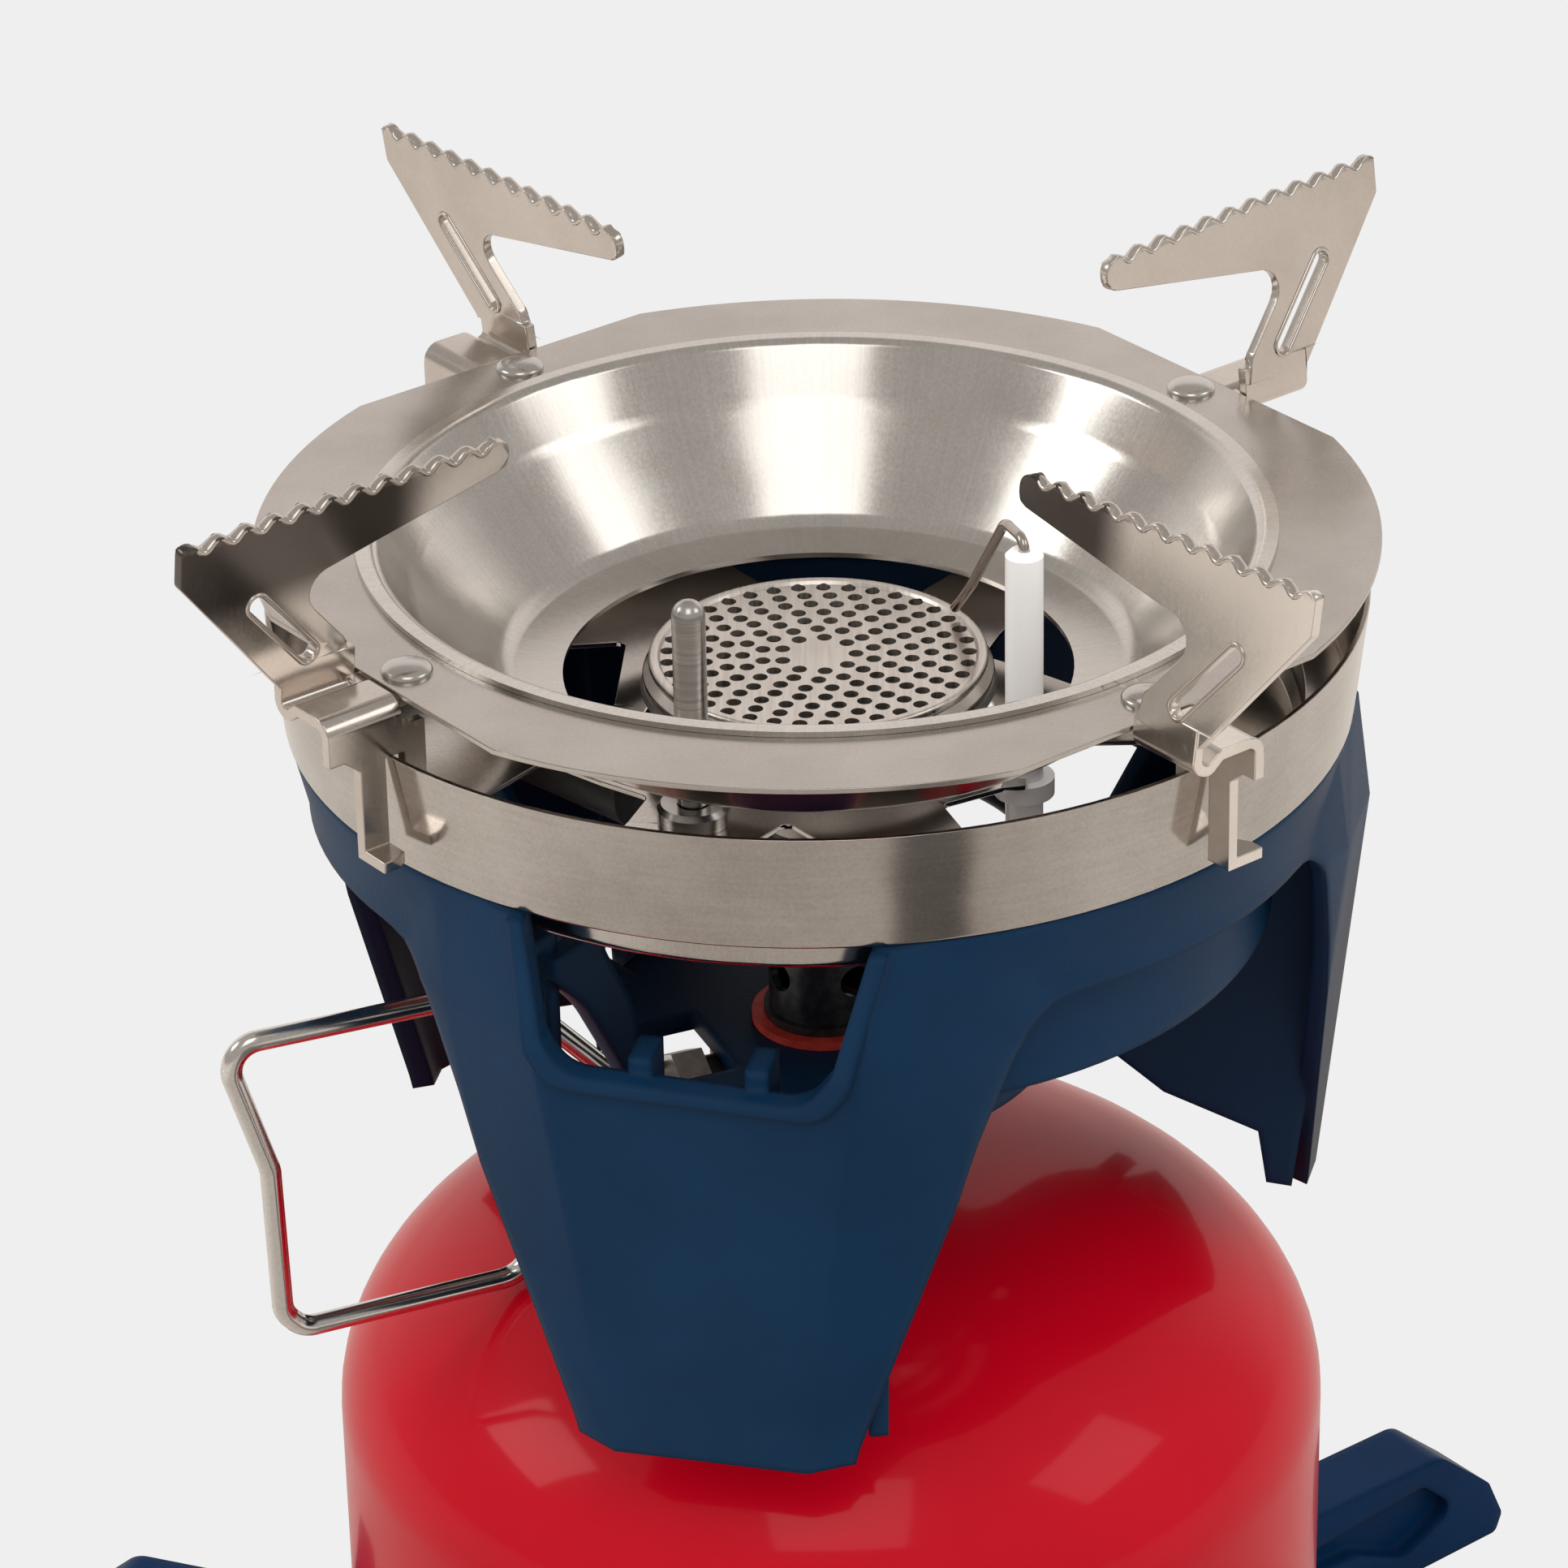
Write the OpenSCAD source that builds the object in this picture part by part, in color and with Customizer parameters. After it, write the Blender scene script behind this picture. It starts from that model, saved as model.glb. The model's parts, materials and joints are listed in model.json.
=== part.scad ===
// Small gas camping stove: a pot support with four toothed arms sits on a steel burner ring,
// the ring stands on a moulded three-legged body, and the body screws onto a gas cartridge
// that is held by a fold-out tripod stand.  Millimetres, +Z up, origin on the ground at the
// stove's axis.  +Y is the side away from the front leg.

/* [Cartridge] */
// Outer radius of the cartridge
can_r = 55; // [52:0.5:57]
// Height of the cartridge's straight wall
can_wall_h = 57; // [45:1:90]
// Height of the domed shoulder
can_dome_h = 27; // [24:0.5:29]
// Radius of the flat spot on top of the dome, where the valve cup sits
can_flat_r = 9.5; // [9:0.25:11]
// Sheet thickness of the cartridge
can_sheet = 0.8; // [0.6:0.1:1.2]

/* [Valve thread] */
// Radius of the threaded neck of the cartridge (7/16 inch thread)
neck_r = 5.5; // [5.3:0.05:5.7]
// Height of the threaded neck above the dome
neck_h = 9; // [8:0.25:9.5]

/* [Tripod stand] */
// Height of the cartridge's foot above the ground
stand_h = 8; // [7:0.25:10]
// Distance from the axis to the tip of each stand leg
stand_reach = 104; // [95:1:115]
// Radius of the stand's round hub
stand_hub_r = 17; // [15:0.5:20]
// Azimuth of the fixed stand leg
stand_az = 278.5; // [270:0.5:286]

/* [Burner ring] */
// Height of the burner ring's top edge above the cartridge's dome
ring_rise = 73; // [71:0.5:78]
// Outer radius of the ring at its top edge
ring_r = 58; // [57.5:0.25:60]
// Height of the ring's visible band
ring_h = 13; // [12:0.5:14]
// How much narrower the band is at its bottom edge
ring_taper = 1.4; // [0.8:0.1:1.6]
// Sheet thickness of the ring and its floor
ring_sheet = 0.6; // [0.5:0.05:0.8]
// Outer radius of the collar that steps down into the body
collar_r = 52; // [51:0.25:52.5]
// Height of that collar
collar_h = 5; // [4:0.25:6]

/* [Pot support] */
// Height of the support's flange above the ring's top edge
flange_z = 6.2; // [5.8:0.1:7]
// Radius of the flange between the arms
flange_r = 59; // [58:0.25:60]
// Distance from the axis to the flange's straight edge at each arm
flange_chord = 55.8; // [55.2:0.1:56.4]
// Radius of the dish's rim
dish_r = 47.4; // [46:0.2:48]
// Radius of the hole in the bottom of the dish
dish_hole_r = 27.1; // [26.8:0.1:28]
// Depth of the dish below the flange
dish_depth = 16.7; // [15:0.1:17]
// Sheet thickness of the flange and the dish
dish_sheet = 0.6; // [0.5:0.05:0.8]

/* [Support arms] */
// Azimuth of the first arm's rivet
arm_az = 38.2; // [36:0.2:40]
// Sheet thickness of the arms
arm_sheet = 1.2; // [1:0.1:1.4]
// Distance from the axis to the outer end of the toothed edge
arm_out_r = 77.7; // [75:0.1:82]
// Distance from the axis to the inner tip of the toothed edge
arm_in_r = 37; // [34:0.5:42]
// Height of the toothed edge above the ring's top edge
arm_top_z = 27.4; // [26:0.2:32]
// Number of teeth along an arm
arm_teeth = 11; // [8:1:13]
// Depth of the scallops between the teeth
tooth_depth = 0.9; // [0.5:0.05:1.1]
// Distance of the rivets from the axis
rivet_at_r = 52.4; // [51.8:0.1:52.8]
// Diameter of a rivet head
rivet_head_d = 5.3; // [4.8:0.1:5.6]

/* [Burner head] */
// Radius of the perforated burner disc
disc_r = 18; // [17:0.25:18.5]
// Distance of the disc's face below the ring's top edge
disc_drop = 9; // [8:0.25:10]
// Diameter of the flame holes
hole_d = 1.6; // [1.2:0.05:1.7]
// Number of rings of flame holes
hole_rings = 7; // [4:1:7]
// Radius of the innermost ring of flame holes
hole_first_r = 4; // [3.6:0.1:4.2]
// Spacing between the rings of flame holes
hole_pitch = 2; // [1.9:0.02:2.02]
// Outer radius of the mixing tube
tube_r = 6; // [5.5:0.1:6.5]

/* [Igniter and pin] */
// Diameter of the white electrode
electrode_d = 4; // [3.4:0.1:4.2]
// Distance of the electrode from the axis
electrode_at_r = 24; // [23.6:0.1:24.2]
// Azimuth of the electrode
electrode_az = -27; // [-30:0.5:-24]
// Diameter of the round-headed steel pin
pin_d = 3.5; // [3:0.1:3.6]
// Distance of the pin from the axis
pin_at_r = 24.8; // [24.4:0.1:25]
// Diameter of the piezo igniter's barrel
piezo_d = 10; // [9:0.5:11]
// Travel of the piezo igniter's push button
button_travel = 3.5; // [3:0.25:4]

/* [Moulded body] */
// Wall thickness of the moulded body
body_wall = 2.2; // [2:0.1:2.6]
// Azimuth of the front leg; the others follow at equal angles
leg_az = 256.5; // [254:0.5:259]
// Half width of a leg's flat face at the top
leg_face_top = 18.5; // [17.5:0.25:19.5]
// Half width of a leg's flat face at the bottom
leg_face_bottom = 10.3; // [9.5:0.1:11.5]
// Length of the legs below the ring's top edge
leg_drop = 76; // [74:0.5:78]
// Drop of the window in the front leg below the ring's top edge
window_drop = 30.5; // [28:0.5:34]

/* [Valve and handle] */
// Azimuth of the valve spindle
spindle_az = 203; // [199:0.5:205]
// Diameter of the valve spindle
spindle_d = 5; // [4.6:0.1:5.4]
// Diameter of the handle's wire
wire_d = 2.3; // [2:0.05:2.4]
// Half height of the wire handle's loop
loop_half = 18; // [16:0.25:18.25]
// Distance from the axis to the far end of the wire handle
loop_out_r = 68; // [64:0.5:72]

/* [Hidden] */
$fn = 96;
// Clearance of a running fit on the radius, and the gap between pieces that just rest
fit = 0.08;
gap = 0.3;
// Gap under a piece that rests on another one
rest = 0.03;
leg_count = 3;
arm_count = 4;
// Heights above the ground
wall_top = stand_h + can_wall_h;
dome_top = wall_top + can_dome_h;
ring_top = dome_top + ring_rise;
dome_r = can_r - can_flat_r;
neck_top = dome_top + neck_h;
floor_top = ring_top - ring_h - collar_h + ring_sheet;
disc_top = ring_top - disc_drop;
leg_bottom = ring_top - leg_drop;
skirt_top = ring_top - ring_h - rest;
leg_top = skirt_top - 0.4;
drum_bottom = leg_bottom + 0.5;
spindle_z = dome_top + 14.2;
hub_top = ring_top - 53;
hub_bottom = hub_top - 2.2;
// Radii of the body's outside: skirt at the ring, skirt at the arches, leg shoulder, leg foot
skirt_r = ring_r - ring_taper - 0.3;
arch_r = 54.6;
face_top_r = 54;
shoulder_r = 56.2;
foot_r = 53.8;
leg_root = 40;
leg_side_width = 5.8;
leg_side_depth = 3.6;
shoulder_z = ring_top - 26.6;
lip_rise = 0.9;
arch_top = ring_top - 23;
inner_r = 48.4;
inner_bottom = ring_top - 36.5;
hub_r = 25;
web_angle = 22;
full_web_angle = 19;
piezo_az = leg_az - 120;
// Valve block
block_r = 12.6;
block_nose_r = 7.6;
boss_r = 3.5;
boss_out = 14.5;
pivot_r = 24.5;
washer_t = 0.9;
// Stand
stand_leg_w = 9;
stand_ring_base = 0.9;
stand_ring_t = 1.7;
rivet_r = 4;

// ---------- helpers ----------

// Unit vector at an angle
function dir(a) = [cos(a), sin(a)];
// Angle of a vector
function ang(v) = atan2(v[1], v[0]);
// Turn from one direction to the next, between -180 and 180
function turn(a, b) = let (d = b - a) d - 360 * round(d / 360);
// Points of the arc that rounds the corner at b between a and c
function corner(a, b, c, r, n = 6) =
    let (u = (a - b) / norm(a - b), v = (c - b) / norm(c - b))
    let (half = acos(max(-1, min(1, u * v))) / 2)
    let (reach = min(r / tan(half), 0.49 * min(norm(a - b), norm(c - b))))
    let (rr = reach * tan(half))
    let (mid = b + (u + v) / norm(u + v) * rr / sin(half))
    let (start = ang(b + u * reach - mid), sweep = turn(start, ang(b + v * reach - mid)))
    [for (i = [0:n]) mid + rr * dir(start + sweep * i / n)];
// A closed outline given as [x, y, corner radius], with its corners rounded
function rounded(p, n = 6) =
    let (m = len(p))
    [for (i = [0:m - 1])
        let (b = [p[i][0], p[i][1]], q = p[(i + m - 1) % m], s = p[(i + 1) % m])
        each (p[i][2] > 0 ? corner([q[0], q[1]], b, [s[0], s[1]], p[i][2], n) : [b])];
// An open path with rounded bends, from the same kind of list
function bent(p, n = 6) =
    let (m = len(p) - 1)
    [for (i = [0:m])
        let (b = [p[i][0], p[i][1]])
        each (i > 0 && i < m && p[i][2] > 0
            ? corner([p[i - 1][0], p[i - 1][1]], b, [p[i + 1][0], p[i + 1][1]], p[i][2], n)
            : [b])];
// Direction across a path at one of its points
function across(p, i) =
    let (a = p[max(i - 1, 0)], b = p[i], c = p[min(i + 1, len(p) - 1)])
    let (u = i > 0 ? (b - a) / norm(b - a) : (c - b) / norm(c - b))
    let (v = i < len(p) - 1 ? (c - b) / norm(c - b) : u)
    let (w = (u + v) / norm(u + v))
    [-w[1], w[0]] / max(0.5, w * u);
// Outline of a sheet of the given thickness that follows a path, which is its middle
function sheet(p, t) = concat(
    [for (i = [0:len(p) - 1]) p[i] + across(p, i) * t / 2],
    [for (i = [len(p) - 1:-1:0]) p[i] - across(p, i) * t / 2]);

// An outline in radius and height, given thickness across the radial direction
module radial_plate(points, t) {
    rotate([90, 0, 0]) linear_extrude(t, center = true) polygon(points);
}

// Round wire along a path of [x, y, bend radius] in the XY plane
module wire(path, d) {
    lap = 0.06;
    last = len(path) - 1;
    pts = [for (q = path) [q[0], q[1]]];
    // Length that each bend takes off its two straight runs
    trim = [for (i = [0:last])
        i == 0 || i == last ? 0
        : path[i][2] * tan(abs(turn(ang(pts[i] - pts[i - 1]), ang(pts[i + 1] - pts[i]))) / 2)];
    for (i = [0:last - 1]) {
        run = pts[i + 1] - pts[i];
        step = run / norm(run);
        // each straight run ends a hair inside its bends, which are a hair thicker
        translate(pts[i] + step * (trim[i] - (i > 0 ? lap : 0)))
            rotate([0, 0, ang(run)]) rotate([0, 90, 0])
                cylinder(d = d, $fn = 24, h = norm(run) - trim[i] - trim[i + 1]
                    + (i > 0 ? lap : 0) + (i < last - 1 ? lap : 0));
    }
    for (i = [1:last - 1]) {
        from = ang(pts[i] - pts[i - 1]);
        sweep = turn(from, ang(pts[i + 1] - pts[i]));
        side = sweep > 0 ? 1 : -1;
        centre = pts[i] - dir(from) * trim[i] + dir(from + side * 90) * path[i][2];
        translate(centre) rotate([0, 0, sweep > 0 ? from - 90 : from + 90 + sweep])
            rotate_extrude(angle = abs(sweep)) translate([path[i][2], 0])
                circle(d = d + lap / 2, $fn = 24);
    }
}

// A hexagonal nut blank
module hexagon(across_flats, h) {
    cylinder(d = across_flats / cos(30), h = h, $fn = 6);
}

// Height of the cartridge's outside at a radius on its dome
function dome_z(r) = wall_top + can_dome_h * sqrt(max(0, 1 - pow((r - can_flat_r) / dome_r, 2)));

// ---------- tripod stand ----------

// Side view of a stand leg from the hub to the tip: it dips under the cartridge, rises outside
// it with a groove that grips the cartridge's foot rim, and ends in a sloped toe
stand_root_r = 12;
stand_clear_r = 22;
stand_rise = 7.5;
function stand_side(top) = rounded([
    [stand_root_r, top, 0], [can_r - 4, top, 0], [can_r - 4, stand_h - rest, 0],
    [can_r + gap, stand_h - rest, 0.3], [can_r + gap, stand_h + 1.5, 0.4],
    [can_r + 5, stand_h + stand_rise - 2, 3], [stand_reach - 32, stand_h + stand_rise + 0.5, 6],
    [stand_reach - 11, stand_h + stand_rise, 4], [stand_reach - 2.5, stand_h, 2],
    [stand_reach, 2.5, 1.2], [stand_reach - 1, 0, 1], [stand_reach - 18, 0, 2],
    [stand_reach - 26, 4, 3], [can_r + 8, 4.5, 3], [can_r - 3, 1.5, 2], [stand_root_r, 1.5, 0]
]);

// One leg with its recessed sides: a web in the middle with flanges above and below
module stand_leg(top) {
    difference() {
        radial_plate(stand_side(top), stand_leg_w);
        for (side = [-1, 1])
            translate([0, side * (stand_leg_w / 2), 0])
                radial_plate(rounded([
                    [can_r + 6, stand_h + stand_rise - 5, 2],
                    [stand_reach - 14, stand_h + stand_rise - 3, 2],
                    [stand_reach - 8, stand_h - 1, 2], [stand_reach - 17, 3, 2],
                    [stand_reach - 25, 7, 2], [can_r + 8, 7.5, 2]
                ]), 4.4);
    }
}

// The stand's three legs share one pivot: each has a ring at its own height in the hub
module stand_piece(level, az) {
    base = stand_ring_base + level * stand_ring_t + rest;
    thick = stand_ring_t - 2 * rest;
    rotate([0, 0, az])
        difference() {
            union() {
                translate([0, 0, base]) cylinder(r = stand_hub_r, h = thick);
                translate([stand_hub_r - 3, -stand_leg_w / 2, base])
                    cube([stand_clear_r - stand_hub_r + 5, stand_leg_w, thick]);
                // the leg keeps clear of the other legs' rings
                difference() {
                    stand_leg(6);
                    translate([0, 0, -1]) cylinder(r = stand_clear_r, h = stand_h + 6);
                }
            }
            translate([0, 0, -1]) cylinder(r = rivet_r + fit, h = stand_h + 2);
        }
}

module stand_front_leg() {
    color("#1b3a5c") stand_piece(1, stand_az);
}

module stand_left_leg() {
    color("#1b3a5c") stand_piece(2, stand_az - 120);
}

module stand_right_leg() {
    color("#1b3a5c") stand_piece(0, stand_az + 120);
}

// Rivet that the three legs turn on; its lower head stands on the ground
module stand_rivet() {
    head_r = rivet_r + 2.5;
    head_t = 0.8;
    stack_top = stand_ring_base + 3 * stand_ring_t;
    color("silver")
        rotate_extrude() polygon([
            [0, 0], [head_r, 0], [head_r, stand_ring_base], [rivet_r, stand_ring_base],
            [rivet_r, stack_top], [head_r, stack_top], [head_r, stack_top + head_t],
            [0, stack_top + head_t]]);
}

// ---------- cartridge ----------

// Half section of the drawn shell: straight wall, elliptical dome, seat for the valve cup
function dome_outline(inset, n = 20) = [for (i = [0:n])
    let (a = 90 * i / n)
    [can_flat_r + (dome_r - inset) * cos(a), wall_top + (can_dome_h - inset) * sin(a)]];

module cartridge_shell() {
    wall_foot = stand_h + 1.2;
    seat_r = can_flat_r - 1.3;
    inner = dome_outline(can_sheet);
    color("#b80020")
        rotate_extrude() polygon(concat(
            [[can_r, wall_foot]], dome_outline(0),
            [[seat_r, dome_top], [seat_r, dome_top - can_sheet]],
            [for (i = [len(inner) - 1:-1:0]) inner[i]],
            [[can_r - can_sheet, wall_foot]]));
}

// Domed-in bottom with the seamed foot rim
module cartridge_base() {
    rim = 1.6;
    color("silver")
        rotate_extrude() polygon(concat(
            [for (p = corner([can_r - rim * 2, stand_h], [can_r, stand_h], [can_r, stand_h + 4],
                0.7)) p],
            [[can_r, stand_h + 1.1], [can_r - can_sheet - 0.1, stand_h + 1.1],
             [can_r - can_sheet - 0.1, stand_h + 6], [can_r - 1.8, stand_h + 6],
             [can_r - 2.2, stand_h + 4]],
            [for (i = [0:12]) [(can_r - 6) * cos(90 * i / 12), stand_h + 4 + 6 * sin(90 * i / 12)]],
            [for (i = [12:-1:0])
                [(can_r - 7) * cos(90 * i / 12), stand_h + 3.2 + 6 * sin(90 * i / 12)]],
            [[can_r - 3, stand_h + 3], [can_r - 3.4, stand_h]]));
}

// Crimped cup with the threaded neck that the stove screws onto
module cartridge_valve_cup() {
    color("silver")
        rotate_extrude() polygon([
            [2.2, dome_top - 6], [8.1, dome_top - 6], [8.1, dome_top], [can_flat_r, dome_top],
            [can_flat_r, dome_top + 1], [8.6, dome_top + 1.8], [7.4, dome_top + 1.8],
            [6.6, dome_top + 1], [neck_r, dome_top + 1], [neck_r, neck_top - 0.4],
            [neck_r - 0.4, neck_top], [3.4, neck_top], [3.4, neck_top - 3],
            [2.2, neck_top - 3.4]
        ]);
}

// Spring-loaded stem that the depressor pin pushes open
stem_top = neck_top - 3.8;
module cartridge_valve_stem() {
    color("silver") {
        translate([0, 0, dome_top - 5]) cylinder(r = 2.1, h = stem_top - dome_top + 5);
        translate([0, 0, dome_top - 7]) cylinder(r = 3.4, h = 1);
        translate([0, 0, dome_top - 6.1]) cylinder(r = 1.2, h = 2);
    }
}

// ---------- valve ----------

// Machined block: threaded skirt over the cartridge's neck, body with the spindle's side bore
// and a boss for the jet and the mixing tube
module valve_block() {
    color("#2b2d31")
        difference() {
            union() {
                translate([0, 0, dome_top + 3.2]) cylinder(r = block_r - 0.5, h = 5);
                translate([0, 0, dome_top + 7.2])
                    cylinder(r = block_r, h = hub_bottom - rest - dome_top - 7.2);
                translate([0, 0, hub_bottom - 1])
                    cylinder(r = block_nose_r, h = hub_top - hub_bottom + 1 - rest);
                rotate([0, 0, spindle_az]) translate([0, 0, spindle_z]) rotate([0, 90, 0])
                    cylinder(r = boss_r, h = boss_out);
            }
            // socket for the threaded neck, and the pocket of its seal
            translate([0, 0, dome_top]) cylinder(r = neck_r + fit, h = neck_h + 0.4);
            translate([0, 0, neck_top]) cylinder(r = seal_r + gap, h = 2.1);
            // side bore for the spindle
            rotate([0, 0, spindle_az]) translate([1, 0, spindle_z]) rotate([0, 90, 0])
                cylinder(d = spindle_d + 2 * fit, h = 20);
            // gas way up to the jet
            translate([0, 0, neck_top]) cylinder(r = 1.25, h = 20);
            translate([0, 0, hub_top - jet_depth]) cylinder(r = jet_r + 0.05, h = 8);
        }
}

seal_r = 3.4;
module neck_seal() {
    color("black")
        translate([0, 0, neck_top + rest])
            difference() {
                cylinder(r = seal_r, h = 1.8);
                translate([0, 0, -1]) cylinder(r = 1.2 + gap, h = 4);
            }
}

module depressor_pin() {
    color("goldenrod")
        difference() {
            union() {
                translate([0, 0, stem_top + rest]) cylinder(r = 0.9, h = neck_top - stem_top + 1);
                translate([0, 0, neck_top + 0.3]) cylinder(r = 1.2, h = 3.4);
            }
            translate([0, 0, stem_top - 1]) cylinder(r = 0.4, h = 12);
        }
}

jet_r = 2.05;
jet_depth = 4;
module gas_jet() {
    color("goldenrod")
        difference() {
            union() {
                translate([0, 0, hub_top - jet_depth]) cylinder(r = jet_r, h = jet_depth + 1);
                translate([0, 0, hub_top]) hexagon(5, 3);
                translate([0, 0, hub_top + 3]) cylinder(r = 1.4, h = 0.8);
            }
            translate([0, 0, hub_top - jet_depth - 1]) cylinder(r = 1, h = jet_depth + 3.4);
            translate([0, 0, hub_top]) cylinder(r = 0.2, h = 6);
        }
}

module red_washer() {
    color("#a32820")
        translate([0, 0, hub_top])
            difference() {
                cylinder(r = 7.9, h = washer_t);
                translate([0, 0, -1]) cylinder(r = tube_r - 1.7, h = 4);
            }
}

// Spindle with its needle tip, and a flattened end that is drilled for the handle
module valve_spindle() {
    color("silver")
        rotate([0, 0, spindle_az]) translate([0, 0, spindle_z])
            difference() {
                union() {
                    translate([5, 0, 0]) rotate([0, 90, 0]) cylinder(d = spindle_d, h = pivot_r - 2);
                    translate([3.6, 0, 0]) rotate([0, 90, 0]) cylinder(r1 = 0.6, r2 = 1.6, h = 1.5);
                }
                for (side = [-1, 1])
                    translate([pivot_r + 1, side * (spindle_d / 2 + 0.7), 0])
                        cube([8, 2, spindle_d + 2], center = true);
                translate([pivot_r, 0, -spindle_d])
                    cylinder(d = wire_d + 2 * fit, h = 2 * spindle_d);
            }
}

module packing_nut() {
    color("silver")
        rotate([0, 0, spindle_az]) translate([boss_out + rest, 0, spindle_z]) rotate([0, 90, 0])
            difference() {
                union() {
                    hexagon(9, 3.6);
                    cylinder(r = 3.9, h = 5);
                }
                translate([0, 0, -1]) cylinder(d = spindle_d + 2 * fit, h = 8);
            }
}

// Bent wire loop: two short ends in the spindle's hole, slanted cheeks, a long loop with the
// set-in lower corner on its outer side
module wire_handle() {
    end = spindle_d / 2 + 0.9;
    cheek = 37;
    half = [for (s = [1, -1]) [
        [pivot_r, s * end * 0.2, 0], [pivot_r, s * (end + 0.6), 1.2],
        [cheek, s * loop_half, 4]]];
    color("silver")
        rotate([0, 0, spindle_az]) translate([0, 0, spindle_z]) rotate([90, 0, 0]) {
            wire(concat(half[0], [
                [loop_out_r - 1, loop_half + 0.4, 3], [loop_out_r - 0.4, loop_half - 3, 3],
                [loop_out_r - 4, 2.5, 4], [loop_out_r - 4.4, -loop_half + 2.5, 3],
                [loop_out_r - 6.5, -loop_half, 3], half[1][2], half[1][1], half[1][0]]), wire_d);
        }
}

// ---------- moulded body ----------

// Outline of an arch between two legs, seen along its centre line: flat top with big round
// corners, widening downwards as the legs narrow
module arch_cut(az) {
    rotate([0, 0, az]) translate([30, 0, ring_top]) rotate([90, 0, 90])
        linear_extrude(50) polygon(rounded([
            [-23, -23, 9], [23, -23, 9], [28, -38, 8], [36.5, -74, 0], [40, -100, 0],
            [-40, -100, 0], [-36.5, -74, 0], [-28, -38, 8]]));
}

// Side view of a leg's face: it leans out to a shoulder and then in towards the foot; back is
// how far inwards the outline runs
function leg_profile(inset, back, past) = [
    [back, leg_bottom - past], [foot_r - inset, leg_bottom - past], [shoulder_r - inset, shoulder_z],
    [face_top_r - inset, leg_top], [face_top_r - inset, leg_top + past], [back, leg_top + past]];

// Cutter for everything outside the plane through a point with a given outward normal
module cut_beyond(point, normal) {
    n = normal / norm(normal);
    translate(point) rotate([0, acos(n[2]), atan2(n[1], n[0])])
        translate([-60, -60, 0]) cube([120, 120, 40]);
}

// A flat-faced leg: its outside when inset is 0, its inside when it is the wall.  The flanks
// are planes through the face's edges, and a second pair turns them in to the round skirt.
module leg_block(inset) {
    past = inset > 0 ? 1 : 0;
    flank = [-leg_side_depth, leg_side_width, 0];
    edges = [[foot_r, leg_face_bottom, leg_bottom], [shoulder_r, leg_face_top - 1.4, shoulder_z],
        [face_top_r, leg_face_top, leg_top]];
    difference() {
        rotate([90, 0, 0]) linear_extrude(80, center = true)
            polygon(leg_profile(inset, leg_root, past));
        for (side = [0, 1], turned = [false, true]) {
            run = turned ? [-11, 10, 0] : flank;
            from = [for (p = edges) turned ? p + 1.8 * flank : p];
            lower = cross(from[0] - from[1], run);
            upper = cross(run, from[2] - from[1]);
            mirror([0, side, 0]) {
                cut_beyond(from[1] - inset * lower / norm(lower), lower);
                cut_beyond(from[1] - inset * upper / norm(upper), upper);
            }
        }
    }
}

module leg_blocks(inset) {
    for (i = [0:leg_count - 1])
        rotate([0, 0, leg_az + i * 360 / leg_count]) leg_block(inset);
}

// Body of revolution behind the legs; inset moves its surface inwards, and past says how far
// it runs on beyond the body's top and bottom
module body_drum(inset, past = 0) {
    rotate_extrude() polygon([
        [0, skirt_top + past], [skirt_r - inset, skirt_top + past], [skirt_r - inset, skirt_top - 0.5],
        [arch_r - inset, arch_top + 2], [foot_r - 1.5 - inset, drum_bottom - 2 * past],
        [0, drum_bottom - 2 * past]]);
}

// Radial web from the hub out to a leg's flank
function full_web() = [
    [hub_r - 3, hub_bottom], [hub_r + 6, hub_bottom - 1.5], [37, ring_top - 62],
    [47.4, ring_top - 67], [48.4, leg_bottom + 2.5], [foot_r - 2.6, leg_bottom + 2],
    [shoulder_r + 0.8, shoulder_z], [shoulder_r + 0.6, arch_top], [inner_r, arch_top],
    [inner_r - 3, ring_top - 33], [38, ring_top - 42.5], [31, ring_top - 49], [hub_r - 3, hub_top]];
// Web beside the handle: a curved strut, open below so that the handle can turn
function arched_web() = rounded([
    [hub_r - 3, hub_bottom, 0], [hub_r + 3, hub_bottom, 0], [33, ring_top - 50, 8],
    [38, ring_top - 40, 12], [43.2, ring_top - 31, 20], [inner_r, ring_top - 25.5, 0],
    [inner_r, arch_top, 0], [40.4, arch_top, 0], [40, ring_top - 25.5, 8],
    [35, ring_top - 35, 12], [34.6, ring_top - 42, 10], [29, ring_top - 50, 6],
    [hub_r - 3, hub_top, 0]]);

module body_webs() {
    for (i = [0:leg_count - 1])
        for (side = [-1, 1]) {
            arched = abs(turn(spindle_az, leg_az + i * 120 + side * web_angle)) < 50;
            rotate([0, 0, leg_az + i * 120 + side * (arched ? web_angle : full_web_angle)])
                radial_plate(arched ? arched_web() : full_web(), 2);
        }
}

// Window in the front leg, below the ring; grow widens it for the lip round it
module window_cut(grow) {
    low = ring_h - window_drop - grow;
    rotate([0, 0, leg_az]) translate([inner_r - 8, 0, ring_top - ring_h])
        rotate([90, 0, 90]) linear_extrude(18) polygon(rounded([
            [-18.1 - grow, 3, 0], [18.6 + grow, 3, 0], [14.2 + grow, low + 4, 3],
            [11.2 + grow, low, 4], [-13.4 - grow, low + 1, 4], [-15.6 - grow, low + 5, 3]]));
}

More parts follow.
